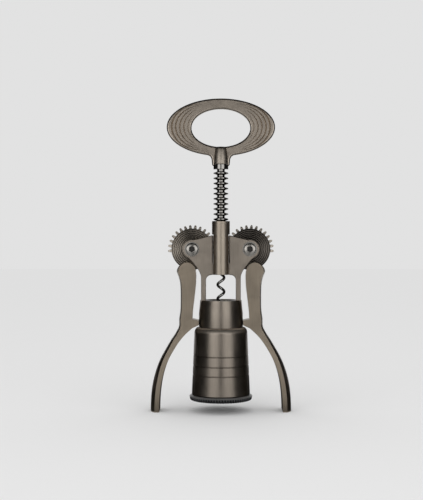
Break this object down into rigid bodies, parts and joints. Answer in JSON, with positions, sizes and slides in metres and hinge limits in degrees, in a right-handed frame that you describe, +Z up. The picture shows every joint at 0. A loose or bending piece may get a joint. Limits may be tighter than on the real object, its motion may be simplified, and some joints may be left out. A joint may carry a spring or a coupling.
{
  "type": "wing corkscrew",
  "caption": "Upright wing corkscrew with an oval ring handle, ringed rack shaft, geared side levers, forged frame and bell.",
  "frame": {"origin": "on the worm's axis, level with the two lever feet that the tool stands on", "axes": "+Z up along the worm and rack shaft towards the handle, X across the two levers, -Y the front with the socket screw heads"},
  "size_m": [0.1296, 0.058, 0.288],
  "materials": {
    "satin_bronze": "fine satin, dark warm grey bronze",
    "polished_steel": "mirror polished",
    "dark_steel": "polished, dark",
    "black_rubber": "moulded, slight sheen",
    "black_nylon": "moulded, matt",
    "bearing_brass": "turned"
  },
  "bodies": {
    "frame": {"frame": "satin_bronze", "guide_tube": "satin_bronze", "bell": "satin_bronze", "rim_ring": "black_rubber", "centring_sleeve": "black_nylon", "neck_seat": "black_nylon", "pivot_screw_left": "polished_steel", "pivot_screw_right": "polished_steel", "pivot_nut_left": "polished_steel", "pivot_nut_right": "polished_steel", "front_washer_left": "polished_steel", "front_washer_right": "polished_steel", "rear_washer_left": "polished_steel", "rear_washer_right": "polished_steel", "gear_bush_left": "bearing_brass", "gear_bush_right": "bearing_brass"},
    "left_lever": {"lever_left": "satin_bronze"},
    "right_lever": {"lever_right": "satin_bronze"},
    "stop_collar": {"stop_collar": "polished_steel"},
    "screw": {"handle": "satin_bronze", "rack_shaft": "polished_steel", "worm": "dark_steel", "worm_set_screw": "dark_steel"}
  },
  "joints": [
    {"name": "left_lever_swing", "type": "hinge", "parent": "frame", "child": "left_lever", "pos_m": [-0.0265, 0, 0.149], "axis": [0, 1, 0], "range_deg": [0, 135]},
    {"name": "right_lever_swing", "type": "hinge", "parent": "frame", "child": "right_lever", "pos_m": [0.0265, 0, 0.149], "axis": [0, -1, 0], "range_deg": [0, 135]},
    {"name": "screw_slide", "type": "slide", "parent": "frame", "child": "stop_collar", "axis": [0, 0, -1], "range_m": [0, 0.0496]},
    {"name": "screw_spin", "type": "hinge", "parent": "stop_collar", "child": "screw", "pos_m": [0, 0, 0.225], "axis": [0, 0, -1], "continuous": true}
  ],
  "couplings": [
    {"joint": "right_lever_swing", "follows": "left_lever_swing", "ratio": 1},
    {"joint": "screw_slide", "follows": "left_lever_swing", "m_per_rad": 0.021}
  ]
}
